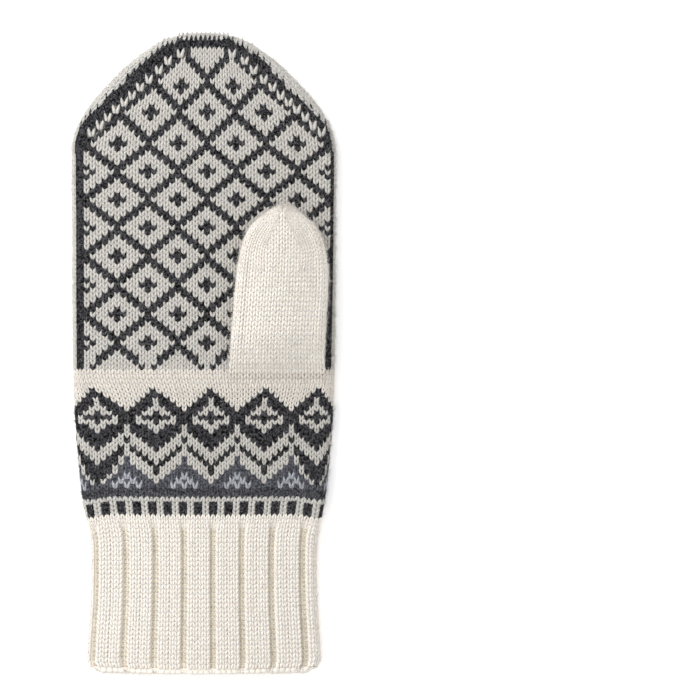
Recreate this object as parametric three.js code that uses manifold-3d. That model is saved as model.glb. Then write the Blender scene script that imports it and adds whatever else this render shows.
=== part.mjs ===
// A knitted wool mitten lying on the back of its hand, with the palm and the thumb up.
// Millimetres. X runs across the mitten, Y from the cuff's mouth to the finger tip, Z up from
// the surface that it lies on. The origin is below the middle of the mitten's length and width.

import * as THREE from "three";
import { mergeVertices } from "three/addons/utils/BufferGeometryUtils.js";
import Module from "manifold-3d";

const wasm = await Module();
wasm.setup();

// Driving dimensions
const LENGTH = 270;
const HAND_WIDTH = 112;
const FOLD_RADIUS = 5; // of the side and tip edges, where the knit folds from the palm to the back
const CROWN_POWER = 1.2; // how fast the crown falls off towards the folded edges
const HAND_WALL = 2.6;
const CUFF_WALL = 3; // at a rib's crest
const THUMB_WALL = 2.3;
const SEAM_GAP = 0.3; // between neighbouring pieces
const CUFF_TOP = -69.4;
const BAND_TOP = -15.4;
const MOUTH_CORNER = 6; // rounding of the cuff's two corners, seen from above

// Ribs of the cuff
const RIB_COUNT = 16;
const RIB_SHIFT = 0.31; // of a pitch, from the middle of the palm side to the nearest groove
const GROOVE_DEPTH = 1.6;
const RIB_FADE_TOP = 7; // length over which the grooves deepen below the band
const RIB_FADE_MOUTH = 2.4; // and over which they deepen above the mouth
const MOUTH_GROOVE_SHARE = 0.3; // of their depth, right at the mouth
const RIB_PROFILE = [
  { at: -0.2, press: 0.2 },
  { at: -0.09, press: 0.95 },
  { at: 0.09, press: 0.95 },
  { at: 0.2, press: 0.2 },
  { at: 0.36, press: 0 },
  { at: 0.64, press: 0 },
];

// Thumb
const THUMB_FOLD_RADIUS = 4.7;
const THUMB_ROOT = -13.5; // where the thumb's front leaves the palm
const THUMB_FULL = 8; // where it has its full thickness
const THUMB_TOE = 0.13; // share of the thickness that it starts with
const THUMB_CENTRE = { root: 31.0, tip: 33.9, from: -15, to: 45 };
const THROAT = { from: -6, to: 10, step: 0.5, floor: 6.4 }; // the slit by which thumb and hand join

const MIDDLE = LENGTH / 2;

// The mitten's outline and thickness. y is the place along it, half its half width there,
// and crown how much the middle of the palm stands above the folded edges.
const MITTEN = [
  { y: -MIDDLE, half: 49.8, crown: 7.0 },
  { y: -122, half: 49.2, crown: 7.0 },
  { y: -105, half: 48.1, crown: 6.6 },
  { y: -90, half: 47.8, crown: 6.2 },
  { y: -78, half: 48.1, crown: 6.0 },
  { y: -68, half: 50.0, crown: 6.0 },
  { y: -56, half: 52.0, crown: 6.2 },
  { y: -38, half: 53.8, crown: 6.5 },
  { y: -15, half: 55.2, crown: 6.8 },
  { y: 20, half: 55.7, crown: 6.8 },
  { y: 55, half: 55.8, crown: 6.4 },
  { y: 80, half: HAND_WIDTH / 2, crown: 5.6 },
  { y: 90, half: 55.4, crown: 5.0 },
  { y: 98, half: 52.3, crown: 4.4 },
  { y: 106.5, half: 46.7, crown: 3.7 },
  { y: 114, half: 40.0, crown: 2.8 },
  { y: 121.8, half: 32.1, crown: 1.8 },
  { y: 127, half: 25.3, crown: 1.0 },
  { y: 131.5, half: 18.0, crown: 0.4 },
  { y: 134.1, half: 9.8, crown: 0.1 },
  { y: MIDDLE, half: 0, crown: 0 },
];

// The same for the thumb, about its own centre line
const THUMB = [
  { y: -15, half: 20.0, crown: 2.4 },
  { y: 0, half: 19.7, crown: 3.4 },
  { y: 12, half: 19.5, crown: 3.6 },
  { y: 24, half: 19.4, crown: 3.6 },
  { y: 35, half: 18.9, crown: 3.3 },
  { y: 44.5, half: 17.2, crown: 2.7 },
  { y: 49.5, half: 15.4, crown: 2.0 },
  { y: 54, half: 12.3, crown: 1.2 },
  { y: 58.5, half: 6.9, crown: 0.4 },
  { y: 60.7, half: 3.3, crown: 0.1 },
  { y: 61.5, half: 0, crown: 0 },
];

// Facets
const FOLD_STEPS = 4; // in a quarter of a folded edge
const FINE = 240; // along an outline
const ARC_FINE = 400; // along a section whose length is measured
const REACH_HALVINGS = 24; // in the search for a place at a given depth

// Where sections lie
const HEM_RISES = [0, 0.8, 2.4, MOUTH_CORNER]; // above the mouth, along its rounded corner
const HEM_END = -119; // from here the cuff's sections are evenly spaced
const RIB_FADE_DROPS = [9, 5, 0]; // below the cuff's top, where the grooves fade
const TIP_START = 84; // from here the hand's sections crowd towards the tip
const THUMB_TIP_START = 33;
const OVERCUT = 4; // how far a hollow runs past an open end

// How many sections a body has along each stretch, and how many flat steps across
const CUFF_STEPS = { straight: 4, flat: 24 };
const CUFF_HOLLOW_STEPS = { straight: 6, flat: 10 };
const BAND_STEPS = { straight: 6, flat: 12 };
const BAND_HOLLOW_STEPS = { straight: 6, flat: 10 };
const HAND_STEPS = { straight: 11, arch: 13, flat: 12 };
const HAND_HOLLOW_STEPS = { straight: 8, arch: 10, flat: 10 };
const THUMB_STEPS = { straight: 11, arch: 9, flat: 12 };
const THUMB_HOLLOW_STEPS = { throat: 4, straight: 3, arch: 7, flat: 8 };

const { clamp, lerp, smoothstep } = THREE.MathUtils;

// A curve along an outline, from its start on the right, round the tip and back on the left
function outlineOf(rows) {
  const right = rows.map(({ y, half, crown }) => new THREE.Vector3(half, y, crown));
  const left = rows.slice(0, -1).reverse();
  const mirrored = left.map(({ y, half, crown }) => new THREE.Vector3(-half, y, crown));
  return new THREE.CatmullRomCurve3([...right, ...mirrored], false, "centripetal").getPoints(FINE);
}

// The half width (x) and the crown (z) of an outline at y
function rowAt(outline, y) {
  const tip = FINE / 2;
  let i = 1;
  while (i < tip && outline[i].y < y) {
    i += 1;
  }
  const [before, after] = [outline[i - 1], outline[i]];
  return before.clone().lerp(after, clamp((y - before.y) / (after.y - before.y), 0, 1));
}

// How far (x, y) lies inside an outline
function depthInside(outline, x, y) {
  let nearest = Infinity;
  for (let i = 1; i < outline.length; i += 1) {
    const [a, b] = [outline[i - 1], outline[i]];
    const [ex, ey] = [b.x - a.x, b.y - a.y];
    const share = clamp(((x - a.x) * ex + (y - a.y) * ey) / (ex * ex + ey * ey), 0, 1);
    nearest = Math.min(nearest, Math.hypot(x - a.x - share * ex, y - a.y - share * ey));
  }
  return nearest;
}

// The largest x at which (x, y) is still that deep inside an outline
function reachAt(outline, y, depth) {
  let [inside, outside] = [0, rowAt(outline, y).x];
  if (depth === 0) {
    return outside;
  }
  for (let i = 0; i < REACH_HALVINGS; i += 1) {
    const middle = (inside + outside) / 2;
    if (depthInside(outline, middle, y) > depth) {
      inside = middle;
    } else {
      outside = middle;
    }
  }
  return inside;
}

// The share of the crown's height at x across a width
function crownShare(x, half) {
  const u = Math.min(Math.abs(x) / Math.max(half, 0.01), 1);
  return (1 - u * u) ** CROWN_POWER;
}

// Half the thickness that a folded edge leaves at (x, y), for a surface set in from the outer one
function foldRise(outline, x, y, radius, inset) {
  const fold = radius - inset;
  const rim = Math.max(depthInside(outline, x, y) - inset, 0);
  return rim < fold ? Math.sqrt(fold * fold - (fold - rim) ** 2) : fold;
}

const mittenOutline = outlineOf(MITTEN);
const thumbOutline = outlineOf(THUMB);

function palmCrown(x, y) {
  const row = rowAt(mittenOutline, y);
  return row.z * crownShare(x, row.x - FOLD_RADIUS);
}

function mittenHeights(x, y, inset) {
  const rise = foldRise(mittenOutline, x, y, FOLD_RADIUS, inset);
  return { low: FOLD_RADIUS - rise, high: FOLD_RADIUS + rise + palmCrown(x, y) };
}

function thumbCentre(y) {
  return lerp(THUMB_CENTRE.root, THUMB_CENTRE.tip, smoothstep(y, THUMB_CENTRE.from, THUMB_CENTRE.to));
}

// The thumb lies on the palm, follows its crown and thins out towards its root
function thumbHeights(across, y, inset) {
  const seat = 2 * FOLD_RADIUS + palmCrown(thumbCentre(y) + across, y) + SEAM_GAP;
  const share = lerp(THUMB_TOE, 1, smoothstep(y, THUMB_ROOT, THUMB_FULL));
  const row = rowAt(thumbOutline, y);
  const rise = foldRise(thumbOutline, across, y, THUMB_FOLD_RADIUS, inset);
  const bulge = row.z * crownShare(across, row.x - THUMB_FOLD_RADIUS);
  return {
    low: seat + inset + share * (THUMB_FOLD_RADIUS - inset - rise),
    high: seat - inset + share * (THUMB_FOLD_RADIUS + inset + rise + bulge),
  };
}

// Places across a section, closer together in the folds
function stations(outline, y, radius, inset, flatSteps) {
  const edge = reachAt(outline, y, inset);
  const flat = Math.max(reachAt(outline, y, radius), 0.45 * edge);
  const fold = [];
  for (let k = 1; k <= FOLD_STEPS; k += 1) {
    fold.push(flat + (edge - flat) * Math.sin(((k / FOLD_STEPS) * Math.PI) / 2));
  }
  const middle = [];
  for (let k = 0; k <= flatSteps; k += 1) {
    middle.push(flat * (-1 + (2 * k) / flatSteps));
  }
  return [...fold.map((x) => -x).reverse(), ...middle, ...fold];
}

// One closed section: over the top from left to right, and back along the bottom
function sectionRing(xs, y, heights, centre) {
  const top = xs.map((x) => new THREE.Vector3(centre + x, y, heights(x, y).high));
  const back = xs.slice(1, -1).reverse();
  return [...top, ...back.map((x) => new THREE.Vector3(centre + x, y, heights(x, y).low))];
}

// The triangles of a flat end, which faces along +Y or -Y
function lidFaces(ring, first, facing) {
  const flat = ring.map((p) => new THREE.Vector2(p.x, p.z));
  return THREE.ShapeUtils.triangulateShape(flat, []).map(([a, b, c]) => {
    const turn = flat[b].clone().sub(flat[a]).cross(flat[c].clone().sub(flat[a]));
    return turn * facing < 0 ? [first + a, first + b, first + c] : [first + a, first + c, first + b];
  });
}

// A closed solid through sections that run along +Y. It ends flat, or in a point if a tip is given.
function loft(rings, tip = null) {
  const count = rings[0].length;
  const last = (rings.length - 1) * count;
  const points = rings.flat();
  const faces = lidFaces(rings[0], 0, -1);
  for (let low = 0; low < last; low += count) {
    for (let k = 0; k < count; k += 1) {
      const next = (k + 1) % count;
      faces.push([low + k, low + next, low + count + next]);
      faces.push([low + k, low + count + next, low + count + k]);
    }
  }
  if (tip) {
    points.push(tip);
    for (let k = 0; k < count; k += 1) {
      faces.push([last + k, last + ((k + 1) % count), points.length - 1]);
    }
  } else {
    faces.push(...lidFaces(rings.at(-1), last, 1));
  }
  const geometry = new THREE.BufferGeometry().setFromPoints(points);
  geometry.setIndex(faces.flat());
  return toSolid(geometry);
}

// A closed geometry as a solid that can be cut
function toSolid(geometry) {
  const merged = mergeVertices(geometry, 1e-4);
  const corners = merged.index.array;
  const triangles = [];
  for (let i = 0; i < corners.length; i += 3) {
    const [a, b, c] = corners.slice(i, i + 3);
    if (a !== b && b !== c && c !== a) {
      triangles.push(a, b, c);
    }
  }
  const vertProperties = Float32Array.from(merged.attributes.position.array);
  const triVerts = Uint32Array.from(triangles);
  return new wasm.Manifold(new wasm.Mesh({ numProp: 3, vertProperties, triVerts }));
}

function toMesh(name, solid, material) {
  const { vertProperties, triVerts } = solid.getMesh();
  const geometry = new THREE.BufferGeometry();
  geometry.setAttribute("position", new THREE.BufferAttribute(Float32Array.from(vertProperties), 3));
  geometry.setIndex(new THREE.BufferAttribute(Uint32Array.from(triVerts), 1));
  geometry.computeVertexNormals();
  const mesh = new THREE.Mesh(geometry, material);
  mesh.name = name;
  return mesh;
}

function evenly(from, to, steps) {
  return Array.from({ length: steps + 1 }, (_, k) => lerp(from, to, k / steps));
}

// Places that crowd towards a tip, which they stop short of, so that they are even along its arch
function towardsTip(from, tip, steps) {
  return Array.from({ length: steps }, (_, k) => tip - (tip - from) * (1 - k / steps) ** 2);
}

// The share of its width that the cuff keeps at y, where its mouth's corners are rounded
function mouthNarrowing(y) {
  const up = clamp(y + MIDDLE, 0, MOUTH_CORNER);
  const loss = MOUTH_CORNER - Math.sqrt(MOUTH_CORNER ** 2 - (MOUTH_CORNER - up) ** 2);
  return 1 - loss / rowAt(mittenOutline, y).x;
}

// The mitten's smooth body through sections at ys, as far as its tip if it has one
function mittenBody(ys, inset, flatSteps, tip = null) {
  const heights = (x, y) => mittenHeights(x, y, inset);
  const ringAt = (y) => {
    const xs = stations(mittenOutline, y, FOLD_RADIUS, inset, flatSteps);
    const narrow = mouthNarrowing(y);
    return sectionRing(xs, y, heights, 0).map((p) => p.setX(p.x * narrow));
  };
  return loft(ys.map(ringAt), tip);
}

function handBody(from, inset, steps) {
  const tip = MIDDLE - inset;
  const straight = evenly(from, TIP_START, steps.straight).slice(0, -1);
  const ys = [...straight, ...towardsTip(TIP_START, tip, steps.arch)];
  return mittenBody(ys, inset, steps.flat, new THREE.Vector3(0, tip, FOLD_RADIUS));
}

// The thumb's outer form, or the hollow inside it with the throat that reaches down into the hand
function thumbBody(ys, inset, flatSteps, hasThroat) {
  const heights = (x, y) => {
    const { low, high } = thumbHeights(x, y, inset);
    return { low: hasThroat && y <= THROAT.to ? THROAT.floor : Math.min(low, high), high };
  };
  const ringAt = (y) => {
    const xs = stations(thumbOutline, y, THUMB_FOLD_RADIUS, inset, flatSteps);
    return sectionRing(xs, y, heights, thumbCentre(y));
  };
  const tip = THUMB.at(-1).y - inset;
  const point = new THREE.Vector3(thumbCentre(tip), tip, thumbHeights(0, tip, inset).high);
  return loft(ys.map(ringAt), point);
}

// A section of the cuff with its grooves pressed in, measured along the section's own length
function ribbedRing(y) {
  const heights = (x, at) => mittenHeights(x, at, 0);
  const xs = stations(mittenOutline, y, FOLD_RADIUS, 0, CUFF_STEPS.flat);
  const smooth = sectionRing(xs, y, heights, 0);
  const loop = new THREE.CatmullRomCurve3(smooth, true, "centripetal");
  loop.arcLengthDivisions = ARC_FINE;
  const topEnd = (xs.length - 1) / smooth.length;
  const middleShare = loop.getLengths()[Math.round((topEnd / 2) * ARC_FINE)] / loop.getLength();
  const fadeIn = smoothstep(CUFF_TOP - y, 0, RIB_FADE_TOP);
  const fadeOut = lerp(MOUTH_GROOVE_SHARE, 1, smoothstep(y + MIDDLE, 0, RIB_FADE_MOUTH));
  const narrow = mouthNarrowing(y);
  const ring = [];
  for (let rib = 0; rib < RIB_COUNT; rib += 1) {
    for (const { at, press } of RIB_PROFILE) {
      const share = (middleShare + (RIB_SHIFT + rib + at) / RIB_COUNT + 1) % 1;
      const point = loop.getPointAt(share);
      const tangent = loop.getTangentAt(share);
      const inward = new THREE.Vector3(tangent.z, 0, -tangent.x);
      point.addScaledVector(inward, GROOVE_DEPTH * press * fadeIn * fadeOut);
      ring.push(new THREE.Vector3(point.x * narrow, y, Math.max(point.z, 0)));
    }
  }
  return ring;
}

function woolMaterial(color) {
  return new THREE.MeshStandardMaterial({ color, roughness: 0.95, metalness: 0 });
}

function makeCuff() {
  const top = CUFF_TOP - SEAM_GAP / 2;
  const hem = HEM_RISES.map((up) => -MIDDLE + up);
  const fading = RIB_FADE_DROPS.map((down) => top - down);
  const straight = evenly(HEM_END, fading[0], CUFF_STEPS.straight).slice(0, -1);
  const outer = loft([...hem, ...straight, ...fading].map(ribbedRing));
  const through = [-MIDDLE - OVERCUT, ...hem, ...evenly(HEM_END, top + OVERCUT, CUFF_HOLLOW_STEPS.straight)];
  const hollow = mittenBody(through, CUFF_WALL, CUFF_HOLLOW_STEPS.flat);
  return toMesh("cuff", outer.subtract(hollow), woolMaterial(0xe9e3d6));
}

function makeBorderBand() {
  const [bottom, top] = [CUFF_TOP + SEAM_GAP / 2, BAND_TOP - SEAM_GAP / 2];
  const outer = mittenBody(evenly(bottom, top, BAND_STEPS.straight), 0, BAND_STEPS.flat);
  const through = evenly(bottom - OVERCUT, top + OVERCUT, BAND_HOLLOW_STEPS.straight);
  const hollow = mittenBody(through, HAND_WALL, BAND_HOLLOW_STEPS.flat);
  return toMesh("border_band", outer.subtract(hollow), woolMaterial(0x6f6f72));
}

function makeHand(thumbHollow) {
  const bottom = BAND_TOP + SEAM_GAP / 2;
  const outer = handBody(bottom, 0, HAND_STEPS);
  const hollow = handBody(bottom - OVERCUT, HAND_WALL, HAND_HOLLOW_STEPS);
  return toMesh("hand", outer.subtract(hollow).subtract(thumbHollow), woolMaterial(0xcfccc6));
}

function makeThumb(thumbHollow) {
  const straight = evenly(THUMB_ROOT, THUMB_TIP_START, THUMB_STEPS.straight).slice(0, -1);
  const arch = towardsTip(THUMB_TIP_START, THUMB.at(-1).y, THUMB_STEPS.arch);
  const outer = thumbBody([...straight, ...arch], 0, THUMB_STEPS.flat, false);
  return toMesh("thumb", outer.subtract(thumbHollow), woolMaterial(0xeae4d8));
}

function makeThumbHollow() {
  const { throat, straight, arch, flat } = THUMB_HOLLOW_STEPS;
  const ys = [
    ...evenly(THROAT.from, THROAT.to, throat),
    ...evenly(THROAT.to + THROAT.step, THUMB_TIP_START, straight).slice(0, -1),
    ...towardsTip(THUMB_TIP_START, THUMB.at(-1).y - THUMB_WALL, arch),
  ];
  return thumbBody(ys, THUMB_WALL, flat, true);
}

const thumbHollow = makeThumbHollow();
const group = new THREE.Group();
group.add(makeCuff(), makeBorderBand(), makeHand(thumbHollow), makeThumb(thumbHollow));

export default group;
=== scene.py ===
"""A knitted wool mitten lying on the back of its hand, stitch by stitch, on a pale floor.

Every stitch is a V of two short lengths of yarn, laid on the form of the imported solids. Lengths are
in millimetres until a mesh is made. X runs across the mitten to the thumb's side, Y from the cuff's
mouth to the finger tip, and Z up from the floor.
"""

import math

import bmesh
import bpy
import numpy as np
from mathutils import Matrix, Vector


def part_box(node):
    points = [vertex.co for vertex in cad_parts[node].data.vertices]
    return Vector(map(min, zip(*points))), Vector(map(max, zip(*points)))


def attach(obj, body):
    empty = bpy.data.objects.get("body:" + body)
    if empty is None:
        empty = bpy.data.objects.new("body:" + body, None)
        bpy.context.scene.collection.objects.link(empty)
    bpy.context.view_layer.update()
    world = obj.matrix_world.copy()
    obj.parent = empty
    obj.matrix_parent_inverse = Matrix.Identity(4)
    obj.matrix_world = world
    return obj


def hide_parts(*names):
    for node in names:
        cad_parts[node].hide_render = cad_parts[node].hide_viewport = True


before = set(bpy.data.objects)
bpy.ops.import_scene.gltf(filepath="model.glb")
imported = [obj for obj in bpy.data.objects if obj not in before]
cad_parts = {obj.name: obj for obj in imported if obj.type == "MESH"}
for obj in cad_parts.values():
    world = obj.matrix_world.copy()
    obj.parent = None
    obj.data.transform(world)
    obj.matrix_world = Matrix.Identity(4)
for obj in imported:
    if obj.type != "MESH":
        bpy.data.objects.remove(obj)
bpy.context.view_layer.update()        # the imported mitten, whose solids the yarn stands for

random = np.random.default_rng(11)

MM = 0.001
BODY = "root"

# The form, as in the solids
FOLD = 5.0  # radius of the folded side and tip edges
CROWN_POWER = 1.2
HAND_WALL = 2.6
CUFF_WALL = 3.0
THUMB_FOLD = 4.7
SEAM_GAP = 0.3
MOUTH_CORNER = 6.0
RIB_COUNT = 16
RIB_SHIFT = 0.36  # of a rib's pitch, from the middle of the palm to the nearest groove
RIB_CROWDING = 0.9  # how far ribs lie towards the middle of the palm and of the back
THUMB_CENTRE = {"root": 31.0, "tip": 33.9, "from": -15.0, "to": 45.0}
THUMB_ROOT = -13.5
THUMB_FULL = 8.0
THUMB_TOE = 0.13
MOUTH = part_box("cuff")[0][1] / MM
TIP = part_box("hand")[1][1] / MM
CUFF_TOP = (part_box("cuff")[1][1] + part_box("border_band")[0][1]) / 2 / MM
BAND_TOP = (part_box("border_band")[1][1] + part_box("hand")[0][1]) / 2 / MM

# y, half width and crown of the mitten
MITTEN = np.array([
    (MOUTH, 49.8, 7.0),
    (-122, 49.2, 7.0),
    (-105, 48.1, 6.6),
    (-90, 47.8, 6.2),
    (-78, 48.1, 6.0),
    (-68, 50.0, 6.0),
    (-56, 52.0, 6.2),
    (-38, 53.8, 6.5),
    (-15, 55.2, 6.8),
    (20, 55.7, 6.8),
    (55, 55.8, 6.4),
    (80, 56.0, 5.6),
    (90, 55.4, 5.0),
    (98, 52.3, 4.4),
    (106.5, 46.7, 3.7),
    (114, 40.0, 2.8),
    (121.8, 32.1, 1.8),
    (127, 25.3, 1.0),
    (131.5, 18.0, 0.4),
    (134.1, 9.8, 0.1),
    (TIP, 0, 0),
])

# The same for the thumb, about its own centre line
THUMB = np.array([
    (-15, 20.0, 2.4),
    (0, 19.7, 3.4),
    (12, 19.5, 3.6),
    (24, 19.4, 3.6),
    (35, 18.9, 3.3),
    (44.5, 17.2, 2.7),
    (49.5, 15.4, 2.0),
    (54, 12.3, 1.2),
    (58.5, 6.9, 0.4),
    (60.7, 3.3, 0.1),
    (61.5, 0, 0),
])

# The knit. Wales are counted from the middle of the palm, rows from the lowest whole diamond.
HALF_ROUND = 50  # wales from the middle of the palm to the middle of the back
EDGE_WALE = 25  # the wale on the side fold
LATTICE_WALES = 20.5  # wales of the lattice on each side of its middle
HAND_PITCH = 2.55
BAND_PITCH = 2.32
PITCH_CHANGE = (-24, -8)  # y where the band's pitch grows to the hand's
LATTICE_SHIFT = 2.0  # how far the lattice lies to the thumb's side
LATTICE_PINCH = 0.6  # how far its inner wales are drawn in
LEFT_STRETCH = 0.6  # how far its left edge is drawn out
BAND_LEAN = 1.7  # how far the band's middle lies to the thumb's side
LEAN_END = (-20, -8)  # y where that lean ends
THUMB_SIDE_ROLL = 2.4  # how far the right fold's wales roll onto the palm beside the thumb
ROLL_SHARES = np.array([(15, 0), (20, 1), (24, 0.2), (30, 0)])  # a wale, and its share of the roll
ROLL_START = (-26, -10)  # y where the roll begins
ROLL_END = (-12, 55)  # y where it ends
TIP_START = 84.0
EDGE_ROW = 2.05  # height of the rows that follow the tip's fold
SIDE_END_ROW = 2.0  # height and pitch of the dark side wales where they end in the tip
SIDE_END_PITCH = 1.7
THUMB_TIP_START = 35.0
THUMB_WALES = 9  # from the thumb's fold to its middle
THUMB_SIDE_WALES = 6
THUMB_ROW = 1.9  # height of a row of the thumb's tip
THUMB_TIP_PITCH = 2.42
THUMB_WEDGE = {"half": 7.5, "from": 43, "to": 60}  # the tip's middle wales, which end in a point
THUMB_MERGE = (-13.2, -4.0)  # where the thumb rises from the palm's own surface
# y on the thumb's outline, and the arc from its fold to the line of decreases
THUMB_SIDES = np.array([
    (35, 14.5),
    (43, 12.9),
    (50, 12.7),
    (54, 12.2),
    (58.5, 10.3),
    (60.7, 7.5),
    (61.5, 4.5),
])

KNIT_TOP = CUFF_TOP + 1.2  # where the cuff's knit ends, a little above the solids' seam

# The y of some rows, with even rows between
ROWS = np.array([
    (-37.5, KNIT_TOP),
    (-34.5, -62.7),
    (-33.5, -60.8),
    (-22, -38.8),
    (-9.5, BAND_TOP),
    (0, 3.8),
    (6, 15.8),
    (18, 40.2),
    (30, 63.9),
    (42, 87.4),
    (54, 113.8),
    (60, 127.0),
    (66, 140.5),
])
FIRST_HAND_ROW = -9
FIRST_TIP_ROW = 41
FIRST_BAND_ROW = -33
FIRST_TICK_ROW = -37
LAST_TICK_ROW = -35

# The cuff, whose ribs have two sunken wales and four plain ones
RIB_WALES = 6
SUNKEN_WALE = 0.11  # width of a sunken and of a plain wale, in a rib's pitches
PLAIN_WALE = 0.195
GROOVE_DEPTH = 1.6
SEAM_DEPTH = 0.35  # of the crease along a rib's middle
INNER_RIBS = 0.25  # how strongly the ribs show on the inner side
CUFF_ROW = 1.95
FIRST_PURL_ROW = 3  # below the cuff's top, where the grooves have become deep
INSIDE_ROWS = 12  # rows that are knitted on the inner side of the cuff, from its mouth
# Where the band meets the cuff, its rows sag at the sides: y where that begins and ends, and x
SIDE_SAG = 1.8
SAG_START = (-98, CUFF_TOP - 2)
SAG_END = (CUFF_TOP + 6, -42)
SAG_ACROSS = (37, 50)

# The decreases of the tip: y, and the share of their distance from the middle that wales keep
TIP_NARROWING = np.array([(84, 1.0), (100.6, 0.955), (113.8, 0.88), (127, 0.82), (136, 0.80)])
# y, and the width of the cream edge there, square to the outline
CREAM_EDGE = np.array([
    (84, 1.5),
    (96, 1.5),
    (103, 3.4),
    (106, 4.2),
    (111, 4.8),
    (114, 4.8),
    (124, 3.5),
    (135, 1.3),
])
DARK_ARCH = 6.4  # depth of the dark border at the very tip
DARK_ARCH_START = 115
FILLING = 1.3  # breadth of the stitches that lie half under the cream edge
FILLING_DEPTH = 0.18
# The pale dots along the tip's dark border: their distance from the middle, and y
DOT_MIDDLE = 1.4
DOTS = np.array([
    (10.9, 125.5),
    (16.2, 122.4),
    (20.0, 118.5),
    (24.2, 114.6),
    (27.9, 111.2),
    (31.3, 107.8),
    (34.6, 104.9),
    (38.1, 101.9),
    (41.6, 98.7),
    (44.9, 95.3),
    (48.5, 92.2),
])
DOT_LINE = np.vstack([(0, 136), DOTS])
DOT_PLACES = np.array([(DOT_MIDDLE + side * half, y) for half, y in DOTS for side in (-1, 1)])
DOT_SIZE = (3.3, 2.85)
DOT_CLEARANCE = (1.5, 1.3)  # half the room that a dot's neighbours leave to it
DOT_RISE = 0.3  # of the palm's dots above the other stitches
DOT_SLANT = 0.73  # the line's distance over its height above a point
DOT_BORDER = {"low": 3.1, "high": 1.9, "from": 110, "to": 128}  # dark inside the dots

# The yarns: pale and deep tone, and how strongly it is flecked
YARNS = {
    "cream": ((0.766, 0.708, 0.642), (0.64, 0.59, 0.525), 0.4),
    "stone": ((0.613, 0.585, 0.545), (0.49, 0.465, 0.427), 0.5),
    "ivory": ((0.888, 0.822, 0.745), (0.828, 0.758, 0.677), 0.4),
    # the cuff's own ivory wool with the grooves' shade and warm bounce light painted in, so darker and more
    # beige
    "painted_groove_shade": ((0.715, 0.655, 0.545), (0.625, 0.565, 0.45), 0.4),
    "charcoal": ((0.080, 0.079, 0.086), (0.001, 0.001, 0.001), 0.95),
    "soot": ((0.065, 0.065, 0.065), (0.001, 0.001, 0.001), 0.95),
    "slate": ((0.155, 0.158, 0.178), (0.020, 0.021, 0.029), 0.8),
    "mist": ((0.48, 0.49, 0.52), (0.24, 0.25, 0.28), 0.6),
    "graphite": ((0.12, 0.12, 0.13), (0.01, 0.011, 0.015), 0.8),
    "shade": ((0.24, 0.235, 0.22), (0.12, 0.118, 0.11), 0.5),
    "dusk": ((0.13, 0.13, 0.135), (0.05, 0.05, 0.055), 0.5),
}
PALE_YARNS = ("cream", "stone", "ivory", "painted_groove_shade", "mist")
LONG_YARNS = ("soot", "mist")
RISES = {"charcoal": 0.08, "soot": 0.16, "mist": 0.10}  # of the yarns that stand out a little
YARN_NAMES = list(YARNS)

# The border band from its top row down. Columns go from a diamond's middle to the valley beside it.
BAND_CHART = """
#.....
##....
.##...
.###..
..###.
#..###
###.##
#...##
..###.
.####.
####..
###..z
##....
#...z.
...z..
..z..s
.z...s
z...ss
z..sss
..sssm
.sssms
sssmsm
gggggg
gggggg
""".split()
# The lower rows of the diamonds on the side folds, whose second zigzag is filled
SIDE_CHART_START = 14
SIDE_CHART = """
...##.
..##.s
.###.s
###.ss
###.ss
##.sss
#.ssms
""".split()
CHART_YARNS = {
    ".": "stone", "#": "charcoal", "z": "soot", "s": "slate", "m": "mist", "g": "graphite",
}

# A stitch's right leg, in widths, heights and millimetres, the same for the yarns that cover the
# ends of their neighbours' legs, and a purl stitch's bump
LEG = np.array([(0.05, -0.86, -0.36), (0.15, -0.36, 0.0), (0.36, 0.46, 0.0), (0.48, 1.18, -0.28)])
LONG_LEG = np.array([(0.04, -1.00, -0.30), (0.15, -0.42, 0.0), (0.38, 0.58, 0.04), (0.50, 1.42, -0.10)])
BUMP = np.array([(-0.75, -0.10, -0.22), (-0.34, 0.06, 0.0), (0.34, 0.06, 0.0), (0.75, -0.10, -0.22)])
YARN_SIDES = 5
LEG_SPREAD = (0.275, 0.185)  # half a leg's breadth low and high, in stitch widths
LONG_LEG_SPREAD = (0.30, 0.235)  # the same of a long leg
BUMP_SPREAD = 0.46  # the same of a purl stitch, in heights
YARN_RISE = 0.31  # half its thickness
YARN_DEPTH = 0.42  # of its middle below the form's surface
BASE_DEPTH = 0.52  # of the fabric's ground below that surface
THUMB_BASE_DEPTH = 0.6  # the same of the thumb, and where it rises from the palm
ROOT_DEPTH = 0.9

# Loose fibres: shortest and longest, thickness, and steepest rise from the surface
FIBRE = {"short": 1.2, "long": 3.8, "radius": 0.042, "steep": 0.8}

# The camera's frame and the studio
FRAME_MIDDLE = (61.8, 0.85)
FRAME_SIDE = 296.2  # at the height of the folds
LENS = 120.0
SENSOR = 36.0
FLOOR_TONE = 0.94
FLOOR_GLOW = 0.3
SURROUND_STRENGTH = 0.86
LAMP = {"place": (-0.75, 0.55, 1.0), "side": 0.9, "power": 14}


def lerp(a, b, t):
    return a + (b - a) * t


def smoothstep(x, low, high):
    t = np.clip((x - low) / (high - low), 0, 1)
    return t * t * (3 - 2 * t)


def table(rows, x):
    """The second column of a table at x."""
    return np.interp(x, rows[:, 0], rows[:, 1])


def unit(vectors):
    return vectors / np.maximum(np.linalg.norm(vectors, axis=-1, keepdims=True), 1e-9)


# The form

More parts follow.
